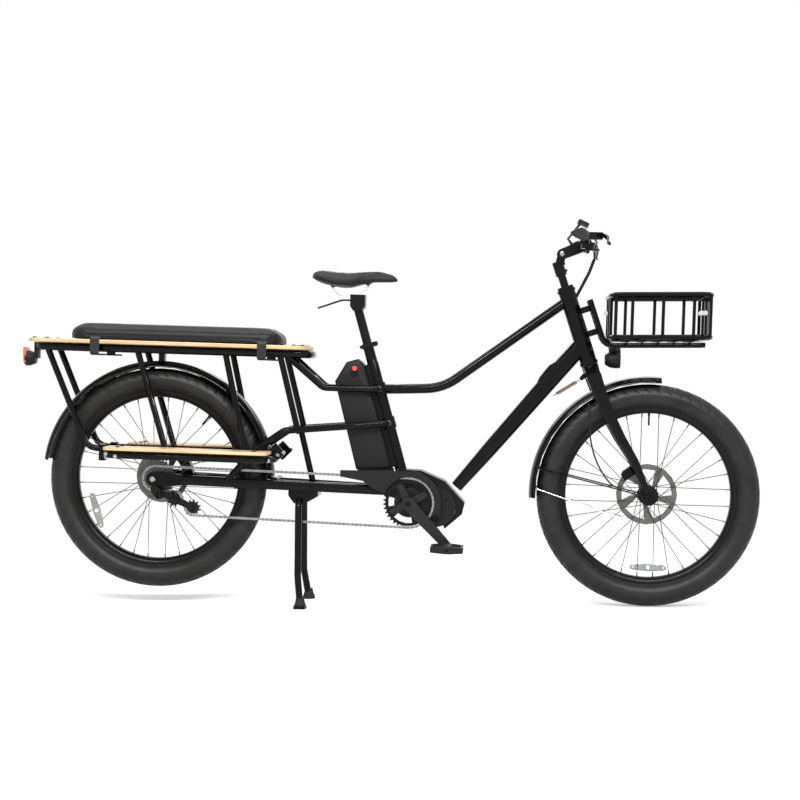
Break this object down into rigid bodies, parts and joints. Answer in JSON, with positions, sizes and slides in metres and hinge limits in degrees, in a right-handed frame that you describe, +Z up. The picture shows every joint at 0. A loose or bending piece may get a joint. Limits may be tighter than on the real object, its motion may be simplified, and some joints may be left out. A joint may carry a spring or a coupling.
{
  "type": "longtail cargo bicycle",
  "caption": "Longtail electric cargo bicycle: long padded rear rack with running boards, front basket, mid-mounted motor, chain drive, disc brakes and a double-leg stand.",
  "frame": {"origin": "middle of the bicycle's box at floor height, with the front tyre and the stand's feet on the floor", "axes": "+X towards the front wheel, +Y to the rider's left, +Z up"},
  "size_m": [2.1896, 0.692, 1.1384],
  "materials": {
    "frame_paint": "gloss",
    "black_metal": "satin",
    "black_plastic": "matte",
    "plywood": "satin varnish",
    "black_vinyl": "satin",
    "tyre_rubber": "matte",
    "grip_rubber": "matte",
    "steel": "brushed",
    "red_plastic": "gloss"
  },
  "bodies": {
    "frame": {"head_tube": "frame_paint", "top_tube": "frame_paint", "down_tube": "frame_paint", "seat_tube": "frame_paint", "motor_bracket": "frame_paint", "drive_unit": "black_plastic", "chainstays": "frame_paint", "rack_rail": "frame_paint", "rack_side_right": "frame_paint", "rack_side_left": "frame_paint", "upper_stays": "frame_paint", "lower_stays": "frame_paint", "deck_board": "plywood", "footboard_right": "plywood", "footboard_left": "plywood", "rear_fender": "frame_paint", "tail_light": "black_plastic", "seat_pad": "black_vinyl", "chain_guard": "black_plastic", "front_carrier": "black_metal", "front_basket": "black_metal", "headlamp": "black_plastic", "derailleur_body": "black_metal", "chain": "steel"},
    "steering": {"fork": "frame_paint", "stem_riser": "black_metal", "front_fender": "frame_paint", "steering_spring": "steel", "cable_bundle": "black_plastic"},
    "front_wheel": {"front_wheel": "black_metal", "front_tyre": "tyre_rubber", "front_rotor": "steel"},
    "rear_wheel": {"rear_wheel": "black_metal", "rear_tyre": "tyre_rubber", "rear_rotor": "steel"},
    "cockpit": {"stem_arm": "black_metal", "handlebar": "black_metal", "grip_right": "grip_rubber", "grip_left": "grip_rubber", "display": "black_plastic"},
    "brake_lever_right": {"brake_lever_right": "black_metal"},
    "brake_lever_left": {"brake_lever_left": "black_metal"},
    "shift_lever": {"shift_lever": "black_plastic"},
    "cranks": {"crank_right": "black_metal", "crank_left": "black_metal", "chainring": "black_metal"},
    "pedal_right": {"pedal_right": "black_plastic"},
    "pedal_left": {"pedal_left": "black_plastic"},
    "cassette": {"cassette": "steel"},
    "derailleur_link": {"derailleur_link": "black_metal"},
    "derailleur_knuckle": {"derailleur_knuckle": "black_metal"},
    "derailleur_cage": {"derailleur_cage": "black_metal"},
    "guide_pulley": {"guide_pulley": "black_plastic"},
    "tension_pulley": {"tension_pulley": "black_plastic"},
    "kickstand": {"kickstand": "frame_paint"},
    "seatpost": {"seatpost": "black_metal", "saddle": "black_vinyl"},
    "clamp_lever": {"clamp_lever": "black_metal"},
    "battery": {"battery": "black_plastic"},
    "battery_button": {"battery_button": "red_plastic"}
  },
  "joints": [
    {"name": "steering_turn", "type": "hinge", "parent": "frame", "child": "steering", "pos_m": [0.59597, 0, 0.7119], "axis": [-0.2981, 0, 0.9545], "range_deg": [-35, 35], "stiffness_Nm_per_rad": 2, "deforming": ["steering_spring", "cable_bundle"]},
    {"name": "front_wheel_spin", "type": "hinge", "parent": "steering", "child": "front_wheel", "pos_m": [0.76733, 0, 0.3275], "axis": [0, 1, 0], "continuous": true},
    {"name": "rear_wheel_spin", "type": "hinge", "parent": "frame", "child": "rear_wheel", "pos_m": [-0.6869, 0, 0.3747], "axis": [0, 1, 0], "continuous": true},
    {"name": "stem_tilt", "type": "hinge", "parent": "steering", "child": "cockpit", "pos_m": [0.51536, 0, 1.03684], "axis": [0, 1, 0], "range_deg": [-25, 20]},
    {"name": "brake_lever_right_pull", "type": "hinge", "parent": "cockpit", "child": "brake_lever_right", "pos_m": [0.61384, -0.19, 1.07448], "axis": [-0.0324, 0, -0.9995], "range_deg": [0, 14], "stiffness_Nm_per_rad": 0.3},
    {"name": "brake_lever_left_pull", "type": "hinge", "parent": "cockpit", "child": "brake_lever_left", "pos_m": [0.61384, 0.19, 1.07448], "axis": [0.0324, 0, 0.9995], "range_deg": [0, 14], "stiffness_Nm_per_rad": 0.3},
    {"name": "shift_lever_push", "type": "hinge", "parent": "cockpit", "child": "shift_lever", "pos_m": [0.58196, -0.168, 1.04694], "axis": [0.0324, 0, 0.9995], "range_deg": [0, 25], "stiffness_Nm_per_rad": 0.1},
    {"name": "crank_turn", "type": "hinge", "parent": "frame", "child": "cranks", "pos_m": [0.06564, 0, 0.30525], "axis": [0, 1, 0], "continuous": true, "deforming": ["chain"]},
    {"name": "pedal_right_spin", "type": "hinge", "parent": "cranks", "child": "pedal_right", "pos_m": [0.1808, -0.138, 0.1802], "axis": [0, 1, 0], "continuous": true},
    {"name": "pedal_left_spin", "type": "hinge", "parent": "cranks", "child": "pedal_left", "pos_m": [-0.04952, 0.138, 0.4303], "axis": [0, 1, 0], "continuous": true},
    {"name": "cassette_turn", "type": "hinge", "parent": "frame", "child": "cassette", "pos_m": [-0.6869, -0.054, 0.3747], "axis": [0, 1, 0], "continuous": true},
    {"name": "derailleur_link_swing", "type": "hinge", "parent": "frame", "child": "derailleur_link", "pos_m": [-0.66737, -0.0908, 0.32904], "axis": [0.0324, 0, 0.9995], "range_deg": [-25, 10]},
    {"name": "derailleur_knuckle_swing", "type": "hinge", "parent": "derailleur_link", "child": "derailleur_knuckle", "pos_m": [-0.63446, -0.0659, 0.32597], "axis": [0.0324, 0, 0.9995], "range_deg": [-10, 25]},
    {"name": "derailleur_cage_swing", "type": "hinge", "parent": "derailleur_knuckle", "child": "derailleur_cage", "pos_m": [-0.62873, -0.052, 0.31438], "axis": [0, 1, 0], "range_deg": [-15, 30], "stiffness_Nm_per_rad": 0.3},
    {"name": "guide_pulley_spin", "type": "hinge", "parent": "derailleur_cage", "child": "guide_pulley", "pos_m": [-0.62873, -0.052, 0.31438], "axis": [0, 1, 0], "continuous": true},
    {"name": "tension_pulley_spin", "type": "hinge", "parent": "derailleur_cage", "child": "tension_pulley", "pos_m": [-0.57566, -0.052, 0.28805], "axis": [0, 1, 0], "continuous": true},
    {"name": "kickstand_fold", "type": "hinge", "parent": "frame", "child": "kickstand", "pos_m": [-0.25774, 0, 0.31124], "axis": [0, 1, 0], "range_deg": [0, 80]},
    {"name": "seatpost_height", "type": "slide", "parent": "frame", "child": "seatpost", "axis": [-0.2587, 0, 0.966], "range_m": [-0.09, 0.06]},
    {"name": "clamp_lever_open", "type": "hinge", "parent": "frame", "child": "clamp_lever", "pos_m": [-0.03402, -0.0178, 0.77444], "axis": [-0.2587, 0, 0.966], "range_deg": [0, 110]},
    {"name": "battery_lift", "type": "slide", "parent": "frame", "child": "battery", "axis": [-0.2587, 0, 0.966], "range_m": [0, 0.035]},
    {"name": "battery_button_press", "type": "slide", "parent": "battery", "child": "battery_button", "axis": [0, 1, 0], "range_m": [0, 0.0022], "stiffness_N_per_m": 300}
  ],
  "couplings": [
    {"joint": "cassette_turn", "follows": "crank_turn", "ratio": 2},
    {"joint": "guide_pulley_spin", "follows": "crank_turn", "ratio": -3.2727},
    {"joint": "tension_pulley_spin", "follows": "crank_turn", "ratio": 3.2727},
    {"joint": "derailleur_knuckle_swing", "follows": "derailleur_link_swing", "ratio": -1}
  ]
}
